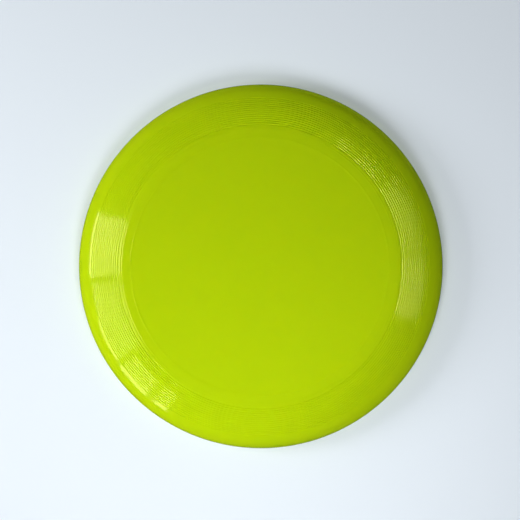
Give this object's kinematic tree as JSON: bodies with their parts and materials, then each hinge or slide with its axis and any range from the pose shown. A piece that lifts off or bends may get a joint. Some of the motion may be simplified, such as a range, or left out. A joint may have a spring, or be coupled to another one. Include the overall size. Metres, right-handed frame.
{
  "type": "flying disc",
  "caption": "One-piece moulded plastic throwing disc with a shallow domed plate, a shoulder of fine concentric flight rings and a deep rounded grip rim.",
  "frame": {"origin": "on the spin axis, in the plane of the rim's foot, so that the disc stands on z = 0", "axes": "+Z along the spin axis, out of the top of the flight plate; +X and +Y are free, because the disc is turned"},
  "size_m": [0.274, 0.274, 0.032],
  "materials": {
    "disc_plastic": "gloss"
  },
  "bodies": {
    "root": {"disc": "disc_plastic"}
  },
  "joints": []
}
